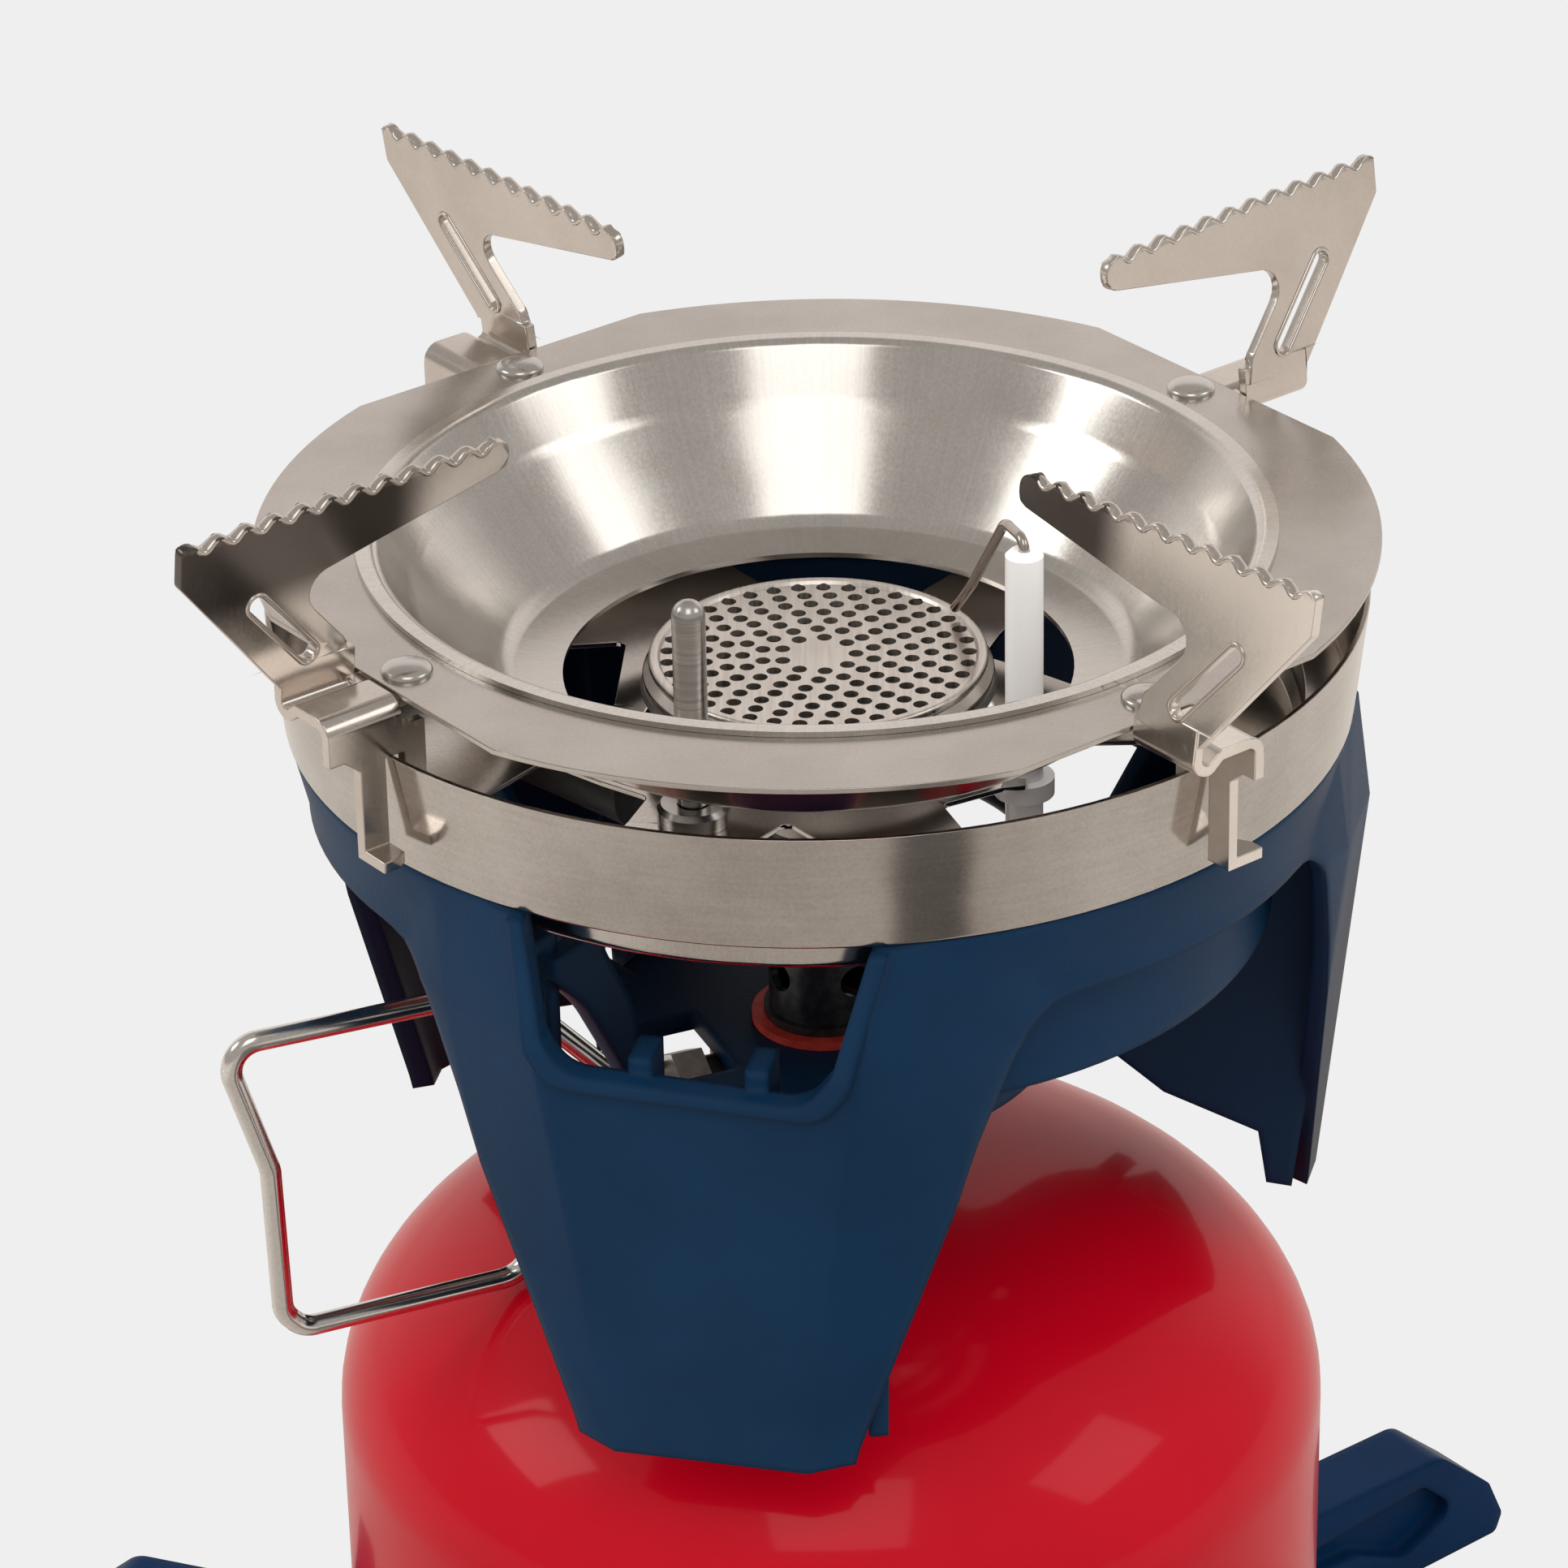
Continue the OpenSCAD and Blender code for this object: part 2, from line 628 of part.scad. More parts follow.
// Skirt and legs: drum and flat-faced legs, hollowed, with the arches and the window cut out
module body_shell() {
    difference() {
        union() {
            intersection() {
                body_drum(0);
                intersection_for (i = [0:leg_count - 1])
                    rotate([0, 0, leg_az + i * 360 / leg_count]) rotate([90, 0, 0])
                        linear_extrude(140, center = true) polygon(leg_profile(0, -70, 2));
            }
            leg_blocks(0);
            window_lip();
        }
        body_drum(body_wall, 1);
        leg_blocks(body_wall);
        for (i = [0:leg_count - 1]) arch_cut(leg_az + 180 / leg_count + i * 360 / leg_count);
        translate([0, 0, skirt_top - 9]) cylinder(r = collar_r + fit, h = 10);
        window_cut(0);
        // hole for the igniter's button
        rotate([0, 0, piezo_az]) translate([piezo_in_r, 0, ring_top + lead_z]) rotate([0, 90, 0])
            cylinder(d = button_d + 2 * gap, h = shoulder_r - piezo_in_r + 10);
    }
}

// Rolled lip that stands proud of the leg's face round the window
module window_lip() {
    intersection() {
        window_cut(1.7);
        rotate([0, 0, leg_az]) leg_block(-lip_rise);
    }
}

// Inner collar under the skirt, open beside the handle and inside the legs, with the ledge
// that ties it to the skirt
module inner_collar() {
    difference() {
        rotate_extrude() polygon([
            [inner_r - 2, inner_bottom], [inner_r, inner_bottom], [inner_r, arch_top + 0.4],
            [arch_r - 1.4, arch_top + 0.4], [arch_r - 1.4, arch_top + 2.6],
            [inner_r - 2, arch_top + 2.6]]);
        rotate([0, 0, spindle_az - 31]) translate([0, 0, inner_bottom - 1])
            rotate_extrude(angle = 62) square([inner_r + 1, arch_top - 3 - inner_bottom]);
        for (i = [0:leg_count - 1])
            rotate([0, 0, leg_az + i * 360 / leg_count - web_angle])
                translate([0, 0, inner_bottom - 1])
                    rotate_extrude(angle = 2 * web_angle) square([arch_r + 2, 40]);
    }
}

// Hub floor that the valve block is screwed to, with the webs that carry it
module body_hub() {
    difference() {
        union() {
            body_webs();
            translate([0, 0, hub_bottom]) cylinder(r = hub_r, h = hub_top - hub_bottom);
        }
        translate([0, 0, hub_bottom - 1]) cylinder(r = block_nose_r + fit, h = 10);
        // notch over the spindle and the root of its handle
        rotate([0, 0, spindle_az]) translate([block_r + 0.2, -6.5, hub_bottom - 5])
            cube([hub_r, 13, 10]);
    }
}

// Two ribs that stand up behind the window's sill
module sill_ribs() {
    rotate([0, 0, leg_az])
        for (y = [-7.2, 4.8])
            translate([shoulder_r - body_wall - 4.5, y, ring_top - window_drop - 20])
                cube([5, 2.4, 22.5]);
}

module moulded_body() {
    color("#19375a") {
        body_shell();
        inner_collar();
        body_hub();
        sill_ribs();
    }
}

// ---------- burner ring and burner ----------

// Ring pressed from sheet: band, step, collar and floor in one section
floor_hole_r = disc_r + 1.2;
module burner_ring() {
    t = ring_sheet;
    low = ring_r - ring_taper;
    color("#b9b0a6")
        translate([0, 0, ring_top])
            difference() {
                rotate_extrude() polygon(concat(
                    [[ring_r, 0]],
                    corner([ring_r, 0], [low, -ring_h], [collar_r, -ring_h], 0.6),
                    corner([low, -ring_h], [collar_r, -ring_h], [collar_r, -ring_h - 4], 0.3),
                    corner([collar_r, -ring_h], [collar_r, -ring_h - collar_h],
                        [floor_hole_r, -ring_h - collar_h], 1.2),
                    [[floor_hole_r, -ring_h - collar_h], [floor_hole_r, -ring_h - collar_h + t],
                     [collar_r - t - 1, -ring_h - collar_h + t],
                     [collar_r - t, -ring_h - collar_h + t + 1],
                     [collar_r - t, -ring_h + t], [low - t, -ring_h + t], [ring_r - t, 0]]));
                floor_openings();
                rotate([0, 0, electrode_az]) translate([electrode_at_r, 0, -ring_h - collar_h - 1])
                    cylinder(d = electrode_d + 0.2, h = 4);
                rotate([0, 0, pin_az]) translate([pin_at_r, 0, -ring_h - collar_h - 1])
                    cylinder(r = 1.5, h = 4);
            }
}

// Openings in the ring's floor: wide trapezoids in the corners and small triangles between
module floor_openings() {
    translate([0, 0, -ring_h - collar_h - 1])
        linear_extrude(3) {
            for (a = [0, 1]) rotate([0, 0, a * 180]) {
                polygon(rounded([[-29, -7, 1], [-23, -12, 1], [-18, -15.6, 1], [-20, -21, 1],
                    [-28, -38, 3], [-41, -22, 3]]));
                polygon(rounded([[-22, 4.9, 1], [-45, 4.9, 3], [-42, 18.5, 3], [-21, 20.6, 1]]));
                polygon(rounded([[-3.5, -21.6, 1], [-19, -41, 2], [13, -43.5, 2]]));
            }
            polygon(rounded([[19, -15, 1], [44, -10.6, 3], [34, -31, 3], [19, -36, 2], [12.6, -18.4, 1]]));
        }
}

// Dark mixing tube with four air holes at its foot
module mixing_tube() {
    foot = hub_top + washer_t;
    color("#35373b")
        difference() {
            union() {
                translate([0, 0, foot]) cylinder(r = tube_r, h = disc_top - 14 - foot);
                translate([0, 0, foot]) cylinder(r = tube_r + 0.6, h = 1);
            }
            translate([0, 0, foot - 1]) cylinder(r = tube_r - 0.8, h = disc_top);
            for (a = [0:1])
                translate([0, 0, foot + 6]) rotate([90, 0, 35 + 90 * a])
                    cylinder(r = 1.8, h = 30, center = true);
        }
}

// Conical cup under the burner disc, with a rolled shoulder
module burner_cup() {
    t = 0.6;
    color("#b9b0a6")
        translate([0, 0, disc_top])
            rotate_extrude() polygon([
                [disc_r + 0.6, -2.6], [disc_r + 0.9, -3.2], [disc_r + 0.5, -3.9],
                [disc_r - 0.4, -4.2], [disc_r - 0.2, -8], [disc_r - 4, -11.4], [tube_r + t + 1, -13.4],
                [tube_r + t + 0.1, -14.4], [tube_r + t + 0.1, -19], [tube_r + 0.05, -19],
                [tube_r + 0.05, -13.6], [tube_r + 1, -12.8], [disc_r - 4.2, -10.8],
                [disc_r - 0.8, -7.8], [disc_r - 1, -3.6], [disc_r - 1, -2.6]]);
}

// Clamp ring that holds the disc down on the cup
module burner_rim() {
    color("#c9c2b8")
        translate([0, 0, disc_top])
            rotate_extrude() polygon(concat(
                [[disc_r - 0.9, -2.5], [disc_r + 0.5, -2.5]],
                corner([disc_r + 0.5, -2.5], [disc_r + 0.7, -1.6], [disc_r + 0.3, -1.2], 0.4),
                [[disc_r - 0.3, -0.8]], [[disc_r - 0.9, -0.8]]));
}

// Perforated disc: rings of flame holes around a plain centre, with a rounded rim
module burner_disc() {
    color("#c9c2b8")
        translate([0, 0, disc_top])
            difference() {
                rotate_extrude() polygon(concat(
                    [[0, -0.7], [disc_r - 1.2, -0.7]],
                    corner([disc_r - 1.2, -0.7], [disc_r, -0.7], [disc_r, 0.3], 0.4),
                    corner([disc_r, -0.4], [disc_r, 0.35], [disc_r - 1, 0.35], 0.5),
                    [[disc_r - 1, 0.3], [disc_r - 1.3, 0], [0, 0]]));
                for (k = [0:hole_rings - 1]) {
                    r = hole_first_r + k * hole_pitch;
                    count = round(2 * PI * r / 2.75);
                    for (i = [0:count - 1])
                        rotate([0, 0, 360 * (i + k / 2) / count])
                            translate([r, 0, -2]) cylinder(d = hole_d, h = 4, $fn = 16);
                }
            }
}

// ---------- pin and igniter ----------

pin_az = -122;
pin_top = 8;
module flame_pin() {
    color("silver")
        rotate([0, 0, pin_az]) translate([pin_at_r, 0, ring_top]) {
            rotate_extrude() polygon(concat(
                [[0, pin_top], [0, -ring_h - collar_h + ring_sheet + 2.4],
                 [pin_d / 2, -ring_h - collar_h + ring_sheet + 2.4]],
                [for (i = [0:8]) [pin_d / 2 * cos(90 * i / 8),
                    pin_top - pin_d / 2 + pin_d / 2 * sin(90 * i / 8)]]));
            translate([0, 0, -ring_h - collar_h - 3]) cylinder(r = 1.3, h = 8);
        }
}

module pin_collar() {
    color("silver")
        rotate([0, 0, pin_az]) translate([pin_at_r, 0, floor_top + rest])
            difference() {
                union() {
                    cylinder(d = 7.6, h = 1.6);
                    translate([0, 0, 1.6]) cylinder(d1 = 7.6, d2 = 6.8, h = 0.6);
                }
                translate([0, 0, -1]) cylinder(r = 1.35, h = 5);
            }
}

electrode_top = 8;
electrode_bottom = -31;
module electrode_ceramic() {
    color("white")
        rotate([0, 0, electrode_az]) translate([electrode_at_r, 0, ring_top]) {
            rotate_extrude() polygon(concat(
                [[0.6, electrode_bottom], [electrode_d / 2, electrode_bottom],
                 [electrode_d / 2, electrode_top - 0.5], [electrode_d / 2 - 0.5, electrode_top],
                 [0.6, electrode_top]]));
            translate([0, 0, -ring_h - collar_h - 2.1])
                difference() {
                    cylinder(d = electrode_d + 2.4, h = 2);
                    translate([0, 0, -1]) cylinder(d = electrode_d - 0.2, h = 4);
                }
        }
}

// Spark wire: up through the ceramic, over, and down to its tip above the burner's edge
module electrode_wire() {
    rise = 1.2;
    tip = 24.5;
    color("#8c7a6c")
        rotate([0, 0, electrode_az]) translate([electrode_at_r, 0, ring_top])
            rotate([0, 0, 136]) rotate([90, 0, 0]) {
                wire([[0, electrode_bottom + 1, 0], [0, electrode_top + rise, 1.3],
                    [5.5, electrode_top + rise - 0.4, 3], [15, -2.5, 3], [20.5, -8, 0]], 1.1);
            }
}

// High-voltage lead from the foot of the electrode round the burner to the piezo barrel
lead_z = -34;
lead_d = 2.4;
lead_sweep = piezo_az - electrode_az - 4.4;
module ignition_lead() {
    color("#222222")
        translate([0, 0, ring_top]) {
            rotate([0, 0, electrode_az]) translate([electrode_at_r, 0, lead_z])
                cylinder(d = lead_d + 0.2, h = electrode_bottom - rest - lead_z, $fn = 24);
            rotate([0, 0, electrode_az]) translate([0, 0, lead_z])
                rotate_extrude(angle = lead_sweep)
                    translate([electrode_at_r, 0]) circle(d = lead_d, $fn = 24);
        }
}

piezo_in_r = 26.5;
piezo_out_r = shoulder_r - body_wall - 0.8;
button_d = piezo_d - 2.8;
bore_depth = 9;
module piezo_barrel() {
    color("#222222")
        rotate([0, 0, piezo_az]) translate([0, 0, ring_top + lead_z]) rotate([0, 90, 0]) {
            translate([0, 0, piezo_in_r])
                difference() {
                    cylinder(d = piezo_d, h = piezo_out_r - piezo_in_r);
                    translate([0, 0, piezo_out_r - piezo_in_r - bore_depth])
                        cylinder(d = button_d + 2 * gap, h = bore_depth + 1);
                }
            translate([0, 0, electrode_at_r - 1]) cylinder(d = 3.4, h = piezo_in_r - electrode_at_r + 2);
        }
}

module piezo_button() {
    start = piezo_out_r - bore_depth + button_travel + gap;
    color("#c0392b")
        rotate([0, 0, piezo_az]) translate([0, 0, ring_top + lead_z]) rotate([0, 90, 0])
            translate([0, 0, start]) cylinder(d = button_d, h = shoulder_r + 4.6 - start);
}

// ---------- pot support ----------

// Flange: a round plate with a straight edge at each arm and a round hole for the dish
module support_flange() {
    color("#b9b0a6")
        translate([0, 0, ring_top + flange_z - dish_sheet])
            difference() {
                intersection() {
                    cylinder(r = flange_r, h = dish_sheet, $fn = 144);
                    flange_chords();
                }
                translate([0, 0, -1]) cylinder(r = dish_r - 0.4, h = 3);
                for (i = [0:arm_count - 1])
                    rotate([0, 0, arm_az + i * 360 / arm_count]) translate([rivet_at_r, 0, -1])
                        cylinder(r = 1.5, h = 3);
            }
}

// Half planes that give the flange its straight edges
module flange_chords() {
    linear_extrude(dish_sheet)
        polygon([for (i = [0:arm_count - 1])
            flange_chord / cos(180 / arm_count) * dir(arm_az + (i + 0.5) * 360 / arm_count)]);
}

// Dish with a small rolled rim, a curved slanting wall and a flat bottom around the hole
module reflector_dish() {
    t = dish_sheet;
    path = bent([
        [dish_r + 0.9, flange_z + t / 2 + rest, 0], [dish_r - 1, flange_z + t / 2 + rest, 1.2],
        [dish_r - 4.6, flange_z - 5.5, 12], [33.6, flange_z - dish_depth + 0.6, 3.5],
        [dish_hole_r, flange_z - dish_depth, 0]], 8);
    color("#d0cac2")
        translate([0, 0, ring_top]) rotate_extrude() polygon(sheet(path, t));
}

// Toothed blade and slanted leg of an arm, in radius and height above the ring's top edge
function arm_top_edge() =
    let (n = arm_teeth * 8, run = arm_out_r - arm_in_r - 3)
    [for (i = [0:n])
        [arm_in_r + 1.8 + run * i / n,
         arm_top_z - tooth_depth * (0.5 - 0.5 * cos(360 * i / 8)) - 0.6 * pow(1 - i / n, 2)]];

arm_base_z = flange_z - dish_sheet - arm_sheet / 2;
function arm_outline() = concat(
    corner([arm_in_r, arm_top_z - 5], [arm_in_r, arm_top_z - 1], [arm_in_r + 4, arm_top_z - 0.8], 1.4),
    arm_top_edge(),
    corner([arm_out_r - 2, arm_top_z], [arm_out_r, arm_top_z], [arm_out_r, arm_top_z - 4], 0.8),
    corner([arm_out_r, arm_top_z], [arm_out_r, arm_top_z - 4.4], [66, arm_base_z + 5], 1),
    [[65.2, arm_base_z + 2]], [[56.4, arm_base_z + 2]],
    corner([56.4, arm_base_z + 2], [57, arm_base_z + 5], [63.4, arm_top_z - 9.2], 2),
    corner([57, arm_base_z + 5], [63.8, arm_top_z - 9.2], [arm_in_r + 6, arm_top_z - 4.4], 2.5),
    corner([62, arm_top_z - 8.6], [arm_in_r, arm_top_z - 4.2], [arm_in_r, arm_top_z - 1], 1.6));

// Slot through the slanted leg
function arm_slot() = rounded([
    [arm_out_r - 9.6, arm_top_z - 8.4, 1], [arm_out_r - 8, arm_top_z - 9.2, 1],
    [62, arm_base_z + 4, 1], [60.4, arm_base_z + 4.8, 1]]);

// Path of the arm's base across its width: down the leg, a V crease, and the turned-down hook
arm_hook_t = 8.2;
arm_leg_y = -4.6;
arm_lean = 8;
function arm_base_path() = bent([
    [0.5, arm_base_z + 4, 0], [0, arm_base_z - 0.2, 1.3], [1.6, arm_base_z - 0.9, 0.8],
    [3.2, arm_base_z + 0.4, 0.8], [arm_hook_t, arm_base_z + 0.4, 1.4], [arm_hook_t, 1, 0]]);

hook_in_r = 53.4;
hook_slot_in = ring_r - ring_sheet - 1.4;
hook_slot_out = ring_r + gap;
hook_out_r = ring_r + 3.4;
module arm(index) {
    az = arm_az + index * 360 / arm_count;
    color("#b9b0a6")
        translate([0, 0, ring_top]) rotate([0, 0, az]) {
            // toothed blade, turned a little from the radial line and leaning from its top edge
            translate([arm_in_r, -2.65, arm_top_z]) rotate([-arm_lean, 0, 2.7])
                translate([-arm_in_r, 0, -arm_top_z])
                difference() {
                    radial_plate(arm_outline(), arm_sheet);
                    radial_plate(arm_slot(), 5);
                }
            // base with its crease, extruded along the radius
            translate([65, arm_leg_y, 0]) rotate([90, 0, -90]) mirror([1, 0, 0])
                linear_extrude(9) polygon(sheet(arm_base_path(), arm_sheet));
            // tongue under the flange, round the rivet
            difference() {
                translate([0, 0, arm_base_z - arm_sheet / 2]) linear_extrude(arm_sheet)
                    polygon(rounded([[rivet_at_r - 3.4, -3, 2], [57, -4.2, 0], [57, 3.2, 0],
                        [rivet_at_r - 3.4, 3.4, 2]]));
                translate([rivet_at_r, 0, 0]) cylinder(r = 1.5, h = 20);
            }
            // hook plate that straddles the ring's wall, with a foot bent out at its end
            translate([0, arm_hook_t + arm_leg_y, 0]) {
                radial_plate([[hook_in_r, 3], [hook_in_r, -7], [hook_slot_in, -7],
                    [hook_slot_in, rest], [hook_slot_out, rest], [hook_slot_out, -9.6],
                    [hook_out_r, -9.6], [hook_out_r, -0.5], [65, 2.6], [65, 3]], arm_sheet);
                translate([hook_slot_out, 0, -10.6]) difference() {
                    translate([0, -arm_sheet / 2, 0]) cube([hook_out_r - hook_slot_out, 4.6, 1.2]);
                    translate([0, 3.2, -1]) rotate([0, 0, 30]) cube([2, 4, 4]);
                }
            }
        }
}

module arm_back_right() {
    arm(0);
}

module arm_back_left() {
    arm(1);
}

module arm_front_left() {
    arm(2);
}

module arm_front_right() {
    arm(3);
}

// Domed rivets that hold the arms under the flange
module support_rivets() {
    top = flange_z;
    low = arm_base_z - arm_sheet / 2;
    color("silver")
        for (i = [0:arm_count - 1])
            rotate([0, 0, arm_az + i * 360 / arm_count]) translate([rivet_at_r, 0, ring_top])
                rotate_extrude() polygon(concat(
                    [[0, low - 0.7], [2.2, low - 0.7], [2.2, low], [1.45, low], [1.45, top],
                     [rivet_head_d / 2, top]],
                    [for (k = [0:8]) [rivet_head_d / 2 * cos(90 * k / 8), top + 0.2 + 0.9 * sin(90 * k / 8)]]));
}

stand_front_leg();
stand_left_leg();
stand_right_leg();
stand_rivet();
cartridge_shell();
cartridge_base();
cartridge_valve_cup();
cartridge_valve_stem();
valve_block();
neck_seal();
depressor_pin();
gas_jet();
red_washer();
valve_spindle();
packing_nut();
wire_handle();
moulded_body();
burner_ring();
mixing_tube();
burner_cup();
burner_rim();
burner_disc();
flame_pin();
pin_collar();
electrode_ceramic();
electrode_wire();
ignition_lead();
piezo_barrel();
piezo_button();
support_flange();
reflector_dish();
arm_back_right();
arm_back_left();
arm_front_left();
arm_front_right();
support_rivets();
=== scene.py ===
import bpy
import json
import math
import numpy as np
from mathutils import Matrix, Vector


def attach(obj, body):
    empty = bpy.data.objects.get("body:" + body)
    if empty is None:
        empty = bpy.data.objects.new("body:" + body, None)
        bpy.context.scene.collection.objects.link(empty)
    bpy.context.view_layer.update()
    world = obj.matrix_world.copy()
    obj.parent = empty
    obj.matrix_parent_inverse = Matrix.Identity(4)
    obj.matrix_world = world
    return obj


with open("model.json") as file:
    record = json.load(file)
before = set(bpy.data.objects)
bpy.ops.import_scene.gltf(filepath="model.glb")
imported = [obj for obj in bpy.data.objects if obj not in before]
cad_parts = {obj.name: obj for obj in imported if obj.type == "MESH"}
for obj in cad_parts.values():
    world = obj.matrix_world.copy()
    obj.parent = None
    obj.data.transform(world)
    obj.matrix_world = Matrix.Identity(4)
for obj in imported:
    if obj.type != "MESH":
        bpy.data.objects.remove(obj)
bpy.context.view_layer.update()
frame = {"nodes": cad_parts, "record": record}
scene = bpy.context.scene
NODES = frame["nodes"]
RING_TOP = 0.165
SHARP_ANGLE = math.radians(33)

# ---------------------------------------------------------------- camera
PITCH, YAW, ROLL = math.radians(27.96), math.radians(0.38), math.radians(-1.17)
AIM = Vector((0, 0, RING_TOP - 0.02448))
DISTANCE = 0.66524
LENS, SENSOR = 142.85, 36  # mm
NEAR = 0.05


def add_camera():
    """A long lens that looks down on the burner from the front leg's side."""
    turn = Matrix.Rotation(YAW, 3, "Z")
    ahead = turn @ Vector((0, math.cos(PITCH), -math.sin(PITCH)))
    side = turn @ Vector((1, 0, 0))
    over = side.cross(ahead)
    right = side * math.cos(ROLL) + over * math.sin(ROLL)
    up = over * math.cos(ROLL) - side * math.sin(ROLL)
    place = AIM + Vector((0, -math.cos(PITCH), math.sin(PITCH))) * DISTANCE
    camera = bpy.data.objects.new("camera", bpy.data.cameras.new("camera"))
    camera.data.sensor_width = SENSOR
    camera.data.lens = LENS
    camera.data.clip_start = NEAR
    camera.matrix_world = Matrix(
        [(*[v[i] for v in (right, up, -ahead)], place[i]) for i in range(3)] + [(0, 0, 0, 1)])
    scene.collection.objects.link(camera)
    scene.camera = camera


# ---------------------------------------------------------------- shader arithmetic
class Sock:
    """A shader socket. Its operators add maths nodes, and node() adds any other node."""

    def __init__(self, tree, socket):
        self.tree, self.socket = tree, socket

    def node(self, kind, inputs, out=0, **settings):
        """Adds a node of this kind, fed by {input: value or Sock}, and wraps one of its outputs."""
        made = self.tree.nodes.new(kind)
        for name, value in settings.items():
            setattr(made, name, value)
        for key, value in inputs.items():
            if isinstance(value, Sock):
                self.tree.links.new(value.socket, made.inputs[key])
            else:
                made.inputs[key].default_value = value
        return Sock(self.tree, made.outputs[out])

    def math(self, operation, other=0.0):
        return self.node("ShaderNodeMath", {0: self, 1: other}, operation=operation)

    def __add__(self, other):
        return self.math("ADD", other)

    def __sub__(self, other):
        return self.math("SUBTRACT", other)

    def __mul__(self, other):
        return self.math("MULTIPLY", other)

    def ramp(self, low, high):
        """0 below low, 1 above high, smooth between."""
        return self.node("ShaderNodeMapRange", {0: self, 1: low, 2: high}, interpolation_type="SMOOTHSTEP")

    def tint(self, first, second):
        """The first colour where this is 0, the second where it is 1."""
        colours = {6: colour(first), 7: colour(second)}
        return self.node("ShaderNodeMix", {0: self, **colours}, out=2, data_type="RGBA")

    def axis(self, i):
        return self.node("ShaderNodeSeparateXYZ", {0: self}, out=i)

    def noise(self, scale, detail=2.0, rough=0.5):
        inputs = {"Vector": self, "Scale": scale, "Detail": detail, "Roughness": rough}
        return self.node("ShaderNodeTexNoise", inputs)

    def stretched(self, x, y, z):
        """These coordinates, scaled on each axis."""
        return self.node("ShaderNodeVectorMath", {0: self, 1: (x, y, z)}, operation="MULTIPLY")

    def round_axis(self):
        """(angle in radians, distance from the stove's axis, height) as coordinates."""
        x, y = self.axis(0), self.axis(1)
        angle = y.math("ARCTAN2", x)
        reach = (x * x + y * y).math("SQRT")
        return self.node("ShaderNodeCombineXYZ", {0: angle, 1: reach, 2: self.axis(2)})


BEVEL_SAMPLES = 6


def colour(value):
    return value if isinstance(value, Sock) else (*value, 1.0)


def material(name, look):
    """A Principled material. look(p) gets the object coordinates in metres and returns the shader's inputs.
    Plain numbers stay on the shader's own sockets. height, with its depth in metres, becomes the bump, and
    rounded, a radius in metres, makes sharp edges look rounded."""
    made = bpy.data.materials.new(name)
    made.use_nodes = True
    tree = made.node_tree
    tree.nodes.clear()
    shader = tree.nodes.new("ShaderNodeBsdfPrincipled")
    output = tree.nodes.new("ShaderNodeOutputMaterial")
    tree.links.new(shader.outputs[0], output.inputs[0])
    coords = tree.nodes.new("ShaderNodeTexCoord")
    p = Sock(tree, coords.outputs["Object"])
    inputs = look(p)
    height, depth, rounded = inputs.pop("height"), inputs.pop("depth"), inputs.pop("rounded", 0)
    bump = {"Height": height, "Distance": depth, "Strength": 1.0}
    if rounded:
        bump["Normal"] = p.node("ShaderNodeBevel", {"Radius": rounded}, samples=BEVEL_SAMPLES)
    inputs["Normal"] = p.node("ShaderNodeBump", bump)
    for key, value in inputs.items():
        if isinstance(value, Sock):
            tree.links.new(value.socket, shader.inputs[key])
        elif isinstance(value, tuple):
            shader.inputs[key].default_value = (*value, 1.0)
        else:
            shader.inputs[key].default_value = value
    return made


# ---------------------------------------------------------------- materials
SHEET_GRAIN = 0.000003  # depth of the grain on rolled and polished sheet, in metres
WIRE_GRAIN = 0.0000003
MOULDED_EDGE = 0.0013  # radius that the plastic's edges seem to have


def steel(light, dark, rough, grain=0.5):
    """Satin stainless sheet: cloudy polish, a fine mottle and short scratches every way."""
    def look(p):
        cloud = p.noise(55, 3, 0.6)
        mottle = p.noise(2400, 3, 0.7)
        scratch_a = p.stretched(5200, 160, 500).noise(1.0, 2).ramp(0.66, 0.74)
        scratch_b = p.stretched(180, 4800, 460).noise(1.0, 2).ramp(0.67, 0.75)
        scratch = scratch_a + scratch_b
        shade = cloud.ramp(0.3, 0.7) * 0.7 + mottle.ramp(0.3, 0.7) * 0.3
        return {"Base Color": shade.tint(dark, light), "Metallic": 1.0,
                "Roughness": cloud * 0.10 + mottle * 0.06 + scratch * 0.06 + (rough - 0.12),
                "height": mottle * grain + scratch * 0.25, "depth": SHEET_GRAIN}
    return look


BLADE_FADE = 0.003
BLADE_FOOT = RING_TOP + 0.014, RING_TOP + 0.020
# tone of the painted dark reflection on the front arms' blades
PAINTED_REFLECTION_TONE = (0.075, 0.064, 0.058)


def arm_look(inner, outer, light, dark):
    """Arm sheet with its blade tinted dark between two distances from the axis, in metres: a painted
    reflection of the dark side of the room. It is a tint, so it stays when seen from another side."""
    def look(p):
        inputs = steel(light, dark, 0.24, 0.8)(p)
        reach, height = p.round_axis().axis(1), p.axis(2)
        dim = (reach.ramp(inner - BLADE_FADE, inner + BLADE_FADE)
               * reach.ramp(outer + BLADE_FADE, outer - BLADE_FADE) * height.ramp(*BLADE_FOOT))
        # painted reflection: the blade is darkened where it would mirror the dark side of the room
        inputs["Base Color"] = (dim * 0.93).tint(inputs["Base Color"], PAINTED_REFLECTION_TONE)
        return inputs
    return look


COLLAR_START = RING_TOP - 0.0128, RING_TOP - 0.0136


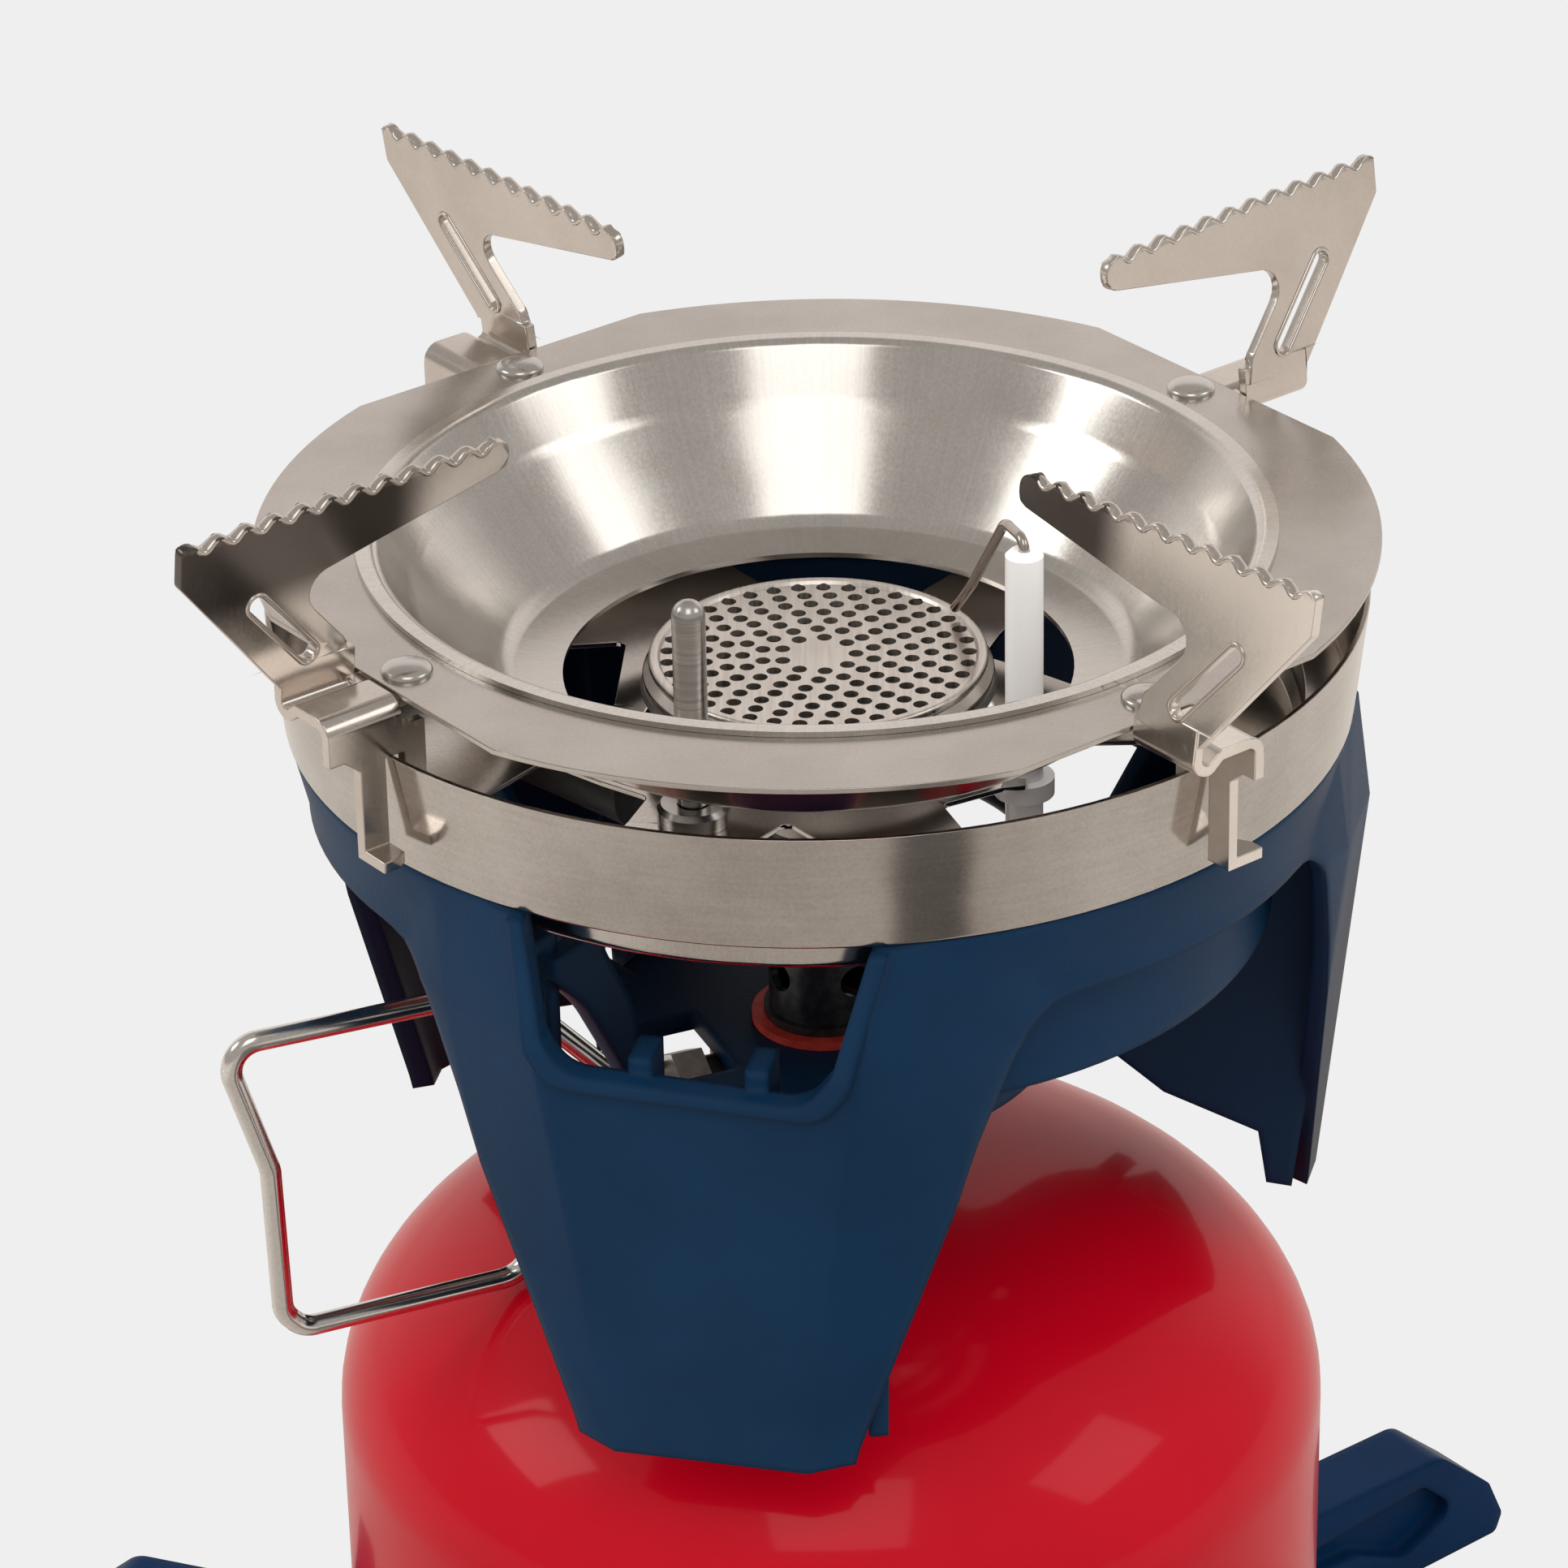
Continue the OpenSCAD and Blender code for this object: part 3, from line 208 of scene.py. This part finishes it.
def ring_look(p):
    """The burner ring: rolled sheet with brushed lines round it on the drum, upright on the collar."""
    q = p.round_axis()
    cloud = p.noise(60, 3, 0.6)
    mottle = p.noise(2600, 3, 0.7)
    lines = q.stretched(6, 2400, 2400).noise(1.0, 3)
    upright = q.stretched(420, 60, 25).noise(1.0, 3)
    collar = q.axis(2).ramp(*COLLAR_START)
    streak = lines + (upright - lines) * collar
    shade = cloud * 0.6 + mottle * 0.4 + streak * 0.2
    return {"Base Color": shade.ramp(0.35, 0.85).tint((0.43, 0.395, 0.36), (0.62, 0.585, 0.55)),
            "Metallic": 1.0, "Roughness": cloud * 0.08 + mottle * 0.05 + 0.07,
            "height": streak * 0.25 + mottle * 0.4, "depth": SHEET_GRAIN}


def dish_look(p):
    """The polished dish: spun sheet, fine streaks down its slope and a soft grain."""
    q = p.round_axis()
    streak = q.stretched(90, 12, 1).noise(1.0, 4, 0.6)
    fine = q.stretched(420, 30, 1).noise(1.0, 2)
    mottle = p.noise(2600, 3, 0.7)
    cloud = p.noise(70, 3, 0.6)
    shade = streak * 0.2 + fine * 0.15 + mottle * 0.4 + cloud * 0.3
    return {"Base Color": shade.ramp(0.3, 0.8).tint((0.60, 0.57, 0.535), (0.78, 0.755, 0.72)),
            "Metallic": 1.0, "Roughness": mottle * 0.08 + cloud * 0.10 + 0.09,
            "height": mottle * 0.6 + fine * 0.3, "depth": SHEET_GRAIN}


def disc_look(p):
    """The burner disc: brushed across in one direction."""
    lines = p.stretched(2600, 120, 120).noise(1.0, 3)
    cloud = p.noise(120, 3)
    shade = lines * 0.7 + cloud * 0.3
    return {"Base Color": shade.ramp(0.3, 0.7).tint((0.62, 0.575, 0.535), (0.82, 0.77, 0.72)),
            "Metallic": 1.0, "Roughness": lines * 0.12 + 0.22, "height": lines, "depth": 0.000012}


# where the low part of the far legs gets painted shade, and its tone
FAR_SIDE = -0.020, 0.005  # along y
LEG_LOW = 0.140, 0.120  # along z
PAINTED_SHADE_TONE = (0.003, 0.004, 0.012)


def plastic(light, dark, rough=0.46, gloss=0.12, shade=0.0):
    """Matte moulded plastic: a spark-eroded grain and slow changes of tone. shade is the strength of a
    painted shade on the low part of the far legs, as on the room's dark side."""
    def look(p):
        # painted shade: the low part of the far legs is darkened as on the room's dark side
        far = p.axis(1).ramp(*FAR_SIDE) * p.axis(2).ramp(*LEG_LOW) * shade
        grain = p.noise(2600, 2, 0.6)
        cloud = p.noise(38, 3, 0.6)
        rub = p.noise(420, 4, 0.75).ramp(0.63, 0.80)
        tone = (cloud.ramp(0.3, 0.7) * 0.8 + grain * 0.2 + rub * 0.15).tint(dark, light)
        return {"Base Color": far.tint(tone, PAINTED_SHADE_TONE),
                "Roughness": cloud * 0.10 + grain * 0.10 + (rough - 0.08), "Specular IOR Level": gloss,
                "height": grain, "depth": 0.00003, "rounded": MOULDED_EDGE}
    return look


def paint_look(p):
    """The cartridge's gloss paint: a clear coat with a faint orange peel and a slow change of depth."""
    peel = p.noise(260, 2)
    cloud = p.noise(30, 3, 0.6)
    speck = p.noise(1500, 2, 0.6).ramp(0.70, 0.82)
    return {"Base Color": (cloud * 0.8 + speck * 0.3).tint((0.39, 0.0003, 0.008), (0.50, 0.0008, 0.013)),
            "Roughness": cloud * 0.08 + 0.22, "Specular IOR Level": 0.05,
            "Coat Weight": 0.32, "Coat Roughness": 0.08, "height": peel, "depth": 0.00002}


def wire_look(p):
    """Bright drawn wire with faint marks along it."""
    marks = p.noise(3000, 2, 0.6)
    slow = p.noise(90, 2)
    return {"Base Color": marks.ramp(0.3, 0.7).tint((0.70, 0.68, 0.65), (0.78, 0.76, 0.73)),
            "Metallic": 1.0, "Roughness": marks * 0.03 + slow * 0.06 + 0.12,
            "height": marks, "depth": WIRE_GRAIN}


def spark_look(p):
    """The spark wire, browned by heat towards its tip."""
    heat = p.axis(0).ramp(0.022, 0.010)
    marks = p.noise(3500, 2, 0.6)
    return {"Base Color": (heat * 0.85 + marks * 0.15).tint((0.56, 0.52, 0.48), (0.36, 0.24, 0.18)),
            "Metallic": 1.0, "Roughness": marks * 0.06 + 0.17, "height": marks, "depth": WIRE_GRAIN}


def pin_look(p):
    """Turned steel pin with rings from the lathe."""
    turned = p.stretched(60, 60, 3200).noise(1.0, 2)
    cloud = p.noise(160, 3)
    shade = turned * 0.6 + cloud * 0.4
    return {"Base Color": shade.ramp(0.3, 0.7).tint((0.46, 0.44, 0.42), (0.66, 0.64, 0.61)),
            "Metallic": 1.0, "Roughness": turned * 0.12 + 0.18, "height": turned, "depth": 0.000008}


def ceramic_look(p):
    """White glazed ceramic, a little uneven."""
    cloud = p.noise(180, 3)
    return {"Base Color": cloud.tint((0.88, 0.87, 0.86), (0.94, 0.93, 0.92)),
            "Roughness": cloud * 0.15 + 0.28, "Coat Weight": 0.25, "height": cloud, "depth": 0.00002}


def plain_look(light, dark, rough, metallic=0.0, scale=600):
    """A small inner piece: a mottle in colour and roughness over a fine bump."""
    def look(p):
        cloud = p.noise(scale, 3, 0.6)
        return {"Base Color": cloud.ramp(0.3, 0.7).tint(dark, light), "Metallic": metallic,
                "Roughness": cloud * 0.15 + (rough - 0.07), "height": cloud, "depth": 0.00001}
    return look


# light and dark tone of the arms' sheet, and a lighter pair for the front right arm: painted light, as it
# faces the light
ARM_TONES = (0.72, 0.665, 0.615), (0.58, 0.53, 0.485)
PAINTED_LIGHT_ARM_TONES = (0.90, 0.84, 0.78), (0.74, 0.69, 0.64)
LOOKS = {
    "stand_plastic": plastic((0.0018, 0.022, 0.072), (0.0013, 0.016, 0.054), 0.36, 0.05),
    "zinc_steel": plain_look((0.66, 0.65, 0.62), (0.50, 0.49, 0.47), 0.34, 1.0),
    "red_paint": paint_look,
    "can_steel": plain_look((0.66, 0.65, 0.63), (0.52, 0.51, 0.49), 0.30, 1.0),
    "dark_metal": plain_look((0.050, 0.050, 0.055), (0.025, 0.025, 0.03), 0.42, 0.6),
    "seal_rubber": plain_look((0.030, 0.030, 0.030), (0.015, 0.015, 0.015), 0.6),
    "brass": plain_look((0.72, 0.54, 0.24), (0.56, 0.40, 0.17), 0.30, 1.0),
    "red_washer": plain_look((0.50, 0.040, 0.022), (0.36, 0.022, 0.014), 0.55),
    "spindle_steel": plain_look((0.68, 0.66, 0.63), (0.52, 0.50, 0.47), 0.26, 1.0),
    "handle_chrome": wire_look,
    # shade=0.7 paints shade on the low part of the far legs
    "blue_plastic": plastic((0.0040, 0.031, 0.081), (0.0029, 0.023, 0.062), shade=0.7),
    "ring_steel": ring_look,
    "tube_dark": plain_look((0.070, 0.070, 0.078), (0.035, 0.035, 0.042), 0.34, 0.8),
    "cup_steel": steel((0.50, 0.47, 0.44), (0.38, 0.355, 0.33), 0.46),
    "rim_steel": steel((0.70, 0.67, 0.63), (0.52, 0.49, 0.455), 0.24),
    "disc_steel": disc_look,
    "pin_steel": pin_look,
    "ceramic": ceramic_look,
    "spark_wire": spark_look,
    "lead_black": plain_look((0.03, 0.03, 0.03), (0.015, 0.015, 0.015), 0.40),
    "piezo_black": plain_look((0.03, 0.03, 0.03), (0.018, 0.018, 0.018), 0.38),
    "button_red": plain_look((0.50, 0.022, 0.018), (0.38, 0.014, 0.012), 0.30),
    "flange_steel": steel((0.60, 0.565, 0.53), (0.47, 0.44, 0.405), 0.27),
    "dish_steel": dish_look,
    "arm_steel": steel(*ARM_TONES, 0.24, 0.8),
    "support_rivets": steel((0.70, 0.68, 0.65), (0.56, 0.54, 0.51), 0.26),
}


def node_group(name, build):
    """A geometry-nodes group round build(geometry)."""
    tree = bpy.data.node_groups.new(name, "GeometryNodeTree")
    tree.interface.new_socket("Geometry", in_out="INPUT", socket_type="NodeSocketGeometry")
    tree.interface.new_socket("Geometry", in_out="OUTPUT", socket_type="NodeSocketGeometry")
    source = Sock(tree, tree.nodes.new("NodeGroupInput").outputs[0])
    result = tree.nodes.new("NodeGroupOutput")
    tree.links.new(build(source).socket, result.inputs[0])
    return tree


JOIN_DISTANCE = 0.000002


def join_points(source):
    bare = source.node("GeometryNodeRemoveAttribute", {"Geometry": source, "Name": "custom_normal"})
    return bare.node("GeometryNodeMergeByDistance", {"Geometry": bare, "Distance": JOIN_DISTANCE})


def shade_by_angle(source):
    angle = source.node("GeometryNodeInputMeshEdgeAngle", {}, out=0)
    soft = angle.node("FunctionNodeCompare", {0: angle, 1: SHARP_ANGLE}, operation="LESS_THAN")
    kind = "GeometryNodeSetShadeSmooth"
    faces = source.node(kind, {"Geometry": source, "Shade Smooth": True}, domain="FACE")
    return faces.node(kind, {"Geometry": faces, "Shade Smooth": soft}, domain="EDGE")


ARMS = ("back_right", "back_left", "front_left", "front_right")
SHEET_EDGE, ARM_EDGE = 0.0001, 0.00016
# radius of the worn edge on each of these pieces of sheet, in metres
EDGES = {"support_flange": SHEET_EDGE, "burner_ring": SHEET_EDGE, **{"arm_" + arm: ARM_EDGE for arm in ARMS}}
BEVEL_ANGLE, BEVEL_SEGMENTS = math.radians(40), 3
FLAT_WEIGHT = 60


def soften(mesh_object, width, joined, shaded):
    """Joins the mesh's doubled points, rounds its sharp edges and shades the rest smooth."""
    mesh_object.modifiers.new("join", "NODES").node_group = joined
    if width:
        bevel = mesh_object.modifiers.new("edge", "BEVEL")
        bevel.width, bevel.segments = width, BEVEL_SEGMENTS
        bevel.limit_method, bevel.angle_limit = "ANGLE", BEVEL_ANGLE
        bevel.use_clamp_overlap = False
    mesh_object.modifiers.new("shade", "NODES").node_group = shaded
    weighted = mesh_object.modifiers.new("normals", "WEIGHTED_NORMAL")
    weighted.mode, weighted.weight, weighted.keep_sharp = "FACE_AREA", FLAT_WEIGHT, True


def dress_nodes():
    """Every CAD node gets the finish of its slot, and the two front arms get their own, with a painted dark
    reflection on their blades and painted light on the front right arm.
    """
    # painted reflection on both front blades; the front right arm's lighter tones are painted light
    own = {"arm_front_left": arm_look(0.049, 0.080, *ARM_TONES),
           "arm_front_right": arm_look(0.030, 0.051, *PAINTED_LIGHT_ARM_TONES)}
    made = {name: material(name + "_look", look) for name, look in {**LOOKS, **own}.items()}
    joined, shaded = node_group("join", join_points), node_group("shade", shade_by_angle)
    for part in frame["record"]["subparts"]:
        mesh_object = NODES[part["node"]]
        soften(mesh_object, EDGES.get(part["node"], 0), joined, shaded)
        for place in mesh_object.material_slots:
            place.material = made.get(part["node"], made[part["material_slot"]])
    return made


# ---------------------------------------------------------------- detail on the pot arms
# in mm and degrees, in the blade's own frame: x outwards from the axis, z up from the ring's top
ARM_AZ = 38.2
ARM_IN, ARM_OUT, ARM_TOP = 37.0, 77.7, 27.4
BLADE_SIDE, BLADE_LEAN, BLADE_TURN = -2.65, -8, 2.7
SHEET = 1.2
TEETH, STEPS = 11, 8  # steps along one tooth
TEETH_START, TEETH_LENGTH = ARM_IN + 1.8, ARM_OUT - ARM_IN - 3
TOOTH_DEPTH, TIP_DROP = 0.9, 0.6
BEAD_SINK, BEAD_HEIGHT, BEAD_PROUD, BEAD_SWELL = 0.30, 0.42, 0.02, 0.20
SLOT_LOW, SLOT_HIGH, SLOT_RADIUS = np.array([61.78, 10.09]), np.array([68.32, 17.91]), 1.22
RIM_RADIUS, RIM_SINK, RIM_POINTS = 0.26, 0.04, 12


def blade_matrix(index):
    """From a blade's own frame (x along it, z up from the ring's top, in mm) to the stove's, in metres."""
    tip = Vector((ARM_IN, 0, ARM_TOP))
    return (Matrix.Scale(0.001, 4) @ Matrix.Translation((0, 0, RING_TOP * 1000))
            @ Matrix.Rotation(math.radians(ARM_AZ + index * 360 / len(ARMS)), 4, "Z")
            @ Matrix.Translation(tip + Vector((0, BLADE_SIDE, 0)))
            @ Matrix.Rotation(math.radians(BLADE_TURN), 4, "Z")
            @ Matrix.Rotation(math.radians(BLADE_LEAN), 4, "X") @ Matrix.Translation(-tip))


def swept(path, across, along, side, closed=False, around=10):
    """Sweeps an ellipse along a path in the blade's plane: point + m * along cos a + y * across sin a,
    where m is the path's normal in the plane and side is the path's distance from the plane.
    Returns vertices (n, 3) and quads (m, 4)."""
    ahead = np.roll(path, -1, 0) - np.roll(path, 1, 0)
    if not closed:
        ahead[0], ahead[-1] = path[1] - path[0], path[-1] - path[-2]
    ahead /= np.linalg.norm(ahead, axis=1, keepdims=True)
    turn = np.linspace(0, 2 * np.pi, around, endpoint=False)
    m = np.stack([-ahead[:, 1], ahead[:, 0]], 1)
    flat = path[:, None, :] + m[:, None, :] * (along[:, None] * np.cos(turn))[:, :, None]
    out = across[:, None] * np.sin(turn) + side
    points = np.stack([flat[:, :, 0], out, flat[:, :, 1]], 2).reshape(-1, 3)
    rows = len(path) if closed else len(path) - 1
    i, k = np.meshgrid(np.arange(rows), np.arange(around), indexing="ij")
    nxt, side_k = (i + 1) % len(path), (k + 1) % around
    quads = np.stack([i * around + k, nxt * around + k, nxt * around + side_k, i * around + side_k], 2)
    return points, quads.reshape(-1, 4)


def tooth_bead():
    """The coined edge along the teeth: the sheet is squeezed thicker in each valley."""
    n = TEETH * STEPS
    i = np.arange(n + 1)
    valley = 0.5 - 0.5 * np.cos(2 * np.pi * i / STEPS)
    x = TEETH_START + TEETH_LENGTH * i / n
    z = ARM_TOP - TOOTH_DEPTH * valley - TIP_DROP * (1 - i / n) ** 2 - BEAD_SINK
    ends = np.clip(np.minimum(i + 0.2, n + 0.2 - i) / 2, 0, 1) ** 0.5
    across = (SHEET / 2 + BEAD_PROUD + BEAD_SWELL * valley) * ends
    return swept(np.stack([x, z], 1), across, BEAD_HEIGHT * ends, 0.0)


def slot_rim(side):
    """The raised rim round the slot, on one face of the sheet: a stadium between two end centres."""
    slant = math.atan2(SLOT_HIGH[1] - SLOT_LOW[1], SLOT_HIGH[0] - SLOT_LOW[0])
    half = np.linspace(-np.pi / 2, np.pi / 2, RIM_POINTS)
    arcs = [(SLOT_HIGH, slant + half), (SLOT_LOW, slant + np.pi + half)]
    path = np.concatenate([c + SLOT_RADIUS * np.stack([np.cos(a), np.sin(a)], 1) for c, a in arcs])
    width = np.full(len(path), RIM_RADIUS)
    return swept(path, width, width, side * (SHEET / 2 - RIM_SINK), closed=True)


def add_piece(name, parts, matrix, looks, body):
    """One smooth mesh of several (points, quads) lists, placed by matrix, that rides on a body."""
    counts = np.cumsum([0] + [len(points) for points, _ in parts])
    points = np.concatenate([points for points, _ in parts])
    quads = np.concatenate([quads + start for (_, quads), start in zip(parts, counts)])
    turned = points @ np.array(matrix.to_3x3()).T + np.array(matrix.translation)
    mesh = bpy.data.meshes.new(name)
    mesh.from_pydata(turned.tolist(), [], quads.tolist())
    mesh.polygons.foreach_set("use_smooth", np.ones(len(quads), bool))
    mesh.materials.append(looks)
    made = bpy.data.objects.new(name, mesh)
    scene.collection.objects.link(made)
    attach(made, body)


def add_arm_detail(looks):
    """The bead along the teeth and the rims round the slot of each arm, in the arms' own finish."""
    for index, name in enumerate(ARMS):
        matrix = blade_matrix(index)
        add_piece("tooth_bead_" + name, [tooth_bead()], matrix, looks, "pot_support")
        add_piece("slot_rim_" + name, [slot_rim(-1), slot_rim(1)], matrix, looks, "pot_support")


# ---------------------------------------------------------------- studio
BACK = (0.863, 0.863, 0.863)
FLOOR_REACH = 4
SCREEN_FRONT, SCREEN_BACK = (0.37, 0.342, 0.318), (0.53, 0.50, 0.47)
GAP_TURN, GAP_DARK = 1.20, (0.055, 0.052, 0.050)
ROOM, MIRRORED_ROOM, MIRRORED_SWEEP = (1.36, 1.335, 1.30), (0.42, 0.395, 0.37), (0.86, 0.80, 0.76)
HEART = (0, 0, 0.16)
WARM = (1.0, 0.985, 0.965)
# place, width and height in metres, power in watts
BOXES = {
    "front_box": ((0.02, -0.62, 0.96), (0.50, 0.56), 1.20),
    "left_box": ((-0.80, 0.00, 0.74), (0.42, 0.32), 1.10),
    "right_box": ((0.80, -0.17, 0.78), (0.46, 0.36), 0.77),
}


def stage_material(name, seen, lit):
    """The camera sees one even colour, and everything else gets the lit(p) colour of a matte surface."""
    made = bpy.data.materials.new(name)
    made.use_nodes = True
    tree = made.node_tree
    tree.nodes.clear()
    p = Sock(tree, tree.nodes.new("ShaderNodeTexCoord").outputs["Object"])
    even = p.node("ShaderNodeEmission", {0: (*seen, 1.0), 1: 1.0})
    matte = p.node("ShaderNodeBsdfDiffuse", {0: lit(p)})
    camera_ray = p.node("ShaderNodeLightPath", {}, out="Is Camera Ray")
    both = p.node("ShaderNodeMixShader", {0: camera_ray, 1: matte, 2: even})
    output = tree.nodes.new("ShaderNodeOutputMaterial")
    tree.links.new(both.socket, output.inputs[0])
    return made


def floor_tone(p):
    """Warm grey, lighter behind and beside the stove, with one dark wedge in front: a gap in the screens."""
    x, y = p.axis(0), p.axis(1)
    beside = y.ramp(-0.16, 0.02).math("MAXIMUM", x.math("ABSOLUTE").ramp(0.10, 0.30))
    wedge = (y.math("ARCTAN2", x) + GAP_TURN).math("ABSOLUTE").ramp(0.17, 0.10)
    return (wedge * 0.86).tint(beside.tint(SCREEN_FRONT, SCREEN_BACK), GAP_DARK)


def add_floor():
    """The ground that the stove stands on. It belongs to the studio, not to the object."""
    mesh = bpy.data.meshes.new("floor")
    corners = [(-1, -1), (1, -1), (1, 1), (-1, 1)]
    mesh.from_pydata([(x * FLOOR_REACH, y * FLOOR_REACH, 0) for x, y in corners], [], [(0, 1, 2, 3)])
    floor = bpy.data.objects.new("floor", mesh)
    mesh.materials.append(stage_material("floor_look", BACK, floor_tone))
    scene.collection.objects.link(floor)


def add_light(name, place, size, power):
    """A soft box at place, turned to the heart of the stove."""
    data = bpy.data.lights.new(name, "AREA")
    data.shape, data.size, data.size_y = "RECTANGLE", *size
    data.energy, data.color = power, WARM
    lamp = bpy.data.objects.new(name, data)
    lamp.location = place
    lamp.rotation_euler = (Vector(HEART) - Vector(place)).to_track_quat("-Z", "Y").to_euler()
    scene.collection.objects.link(lamp)


def add_world():
    """The camera sees the background's grey, polished metal a dim warm room, matte surfaces a bright one."""
    world = bpy.data.worlds.new("room")
    world.use_nodes = True
    tree = world.node_tree
    tree.nodes.clear()
    p = Sock(tree, tree.nodes.new("ShaderNodeTexCoord").outputs["Generated"])
    sweep = p.axis(1).ramp(0.40, 0.75) * p.axis(2).ramp(0.66, 0.54)
    mirrored = sweep.tint(MIRRORED_ROOM, MIRRORED_SWEEP)
    glossy_ray = p.node("ShaderNodeLightPath", {}, out="Is Glossy Ray")
    room = glossy_ray.tint(ROOM, mirrored)
    camera_ray = p.node("ShaderNodeLightPath", {}, out="Is Camera Ray")
    seen = p.node("ShaderNodeMix", {0: camera_ray, 6: room, 7: (*BACK, 1.0)}, out=2, data_type="RGBA")
    sky = p.node("ShaderNodeBackground", {0: seen, 1: 1.0})
    output = tree.nodes.new("ShaderNodeOutputWorld")
    tree.links.new(sky.socket, output.inputs[0])
    scene.world = world


def add_studio():
    """A bright room with a soft box in front and one on each side."""
    add_world()
    add_floor()
    for name, (place, size, power) in BOXES.items():
        add_light(name, place, size, power)


add_camera()
add_studio()
add_arm_detail(dress_nodes()["arm_steel"])
scene.view_settings.view_transform = "Standard"
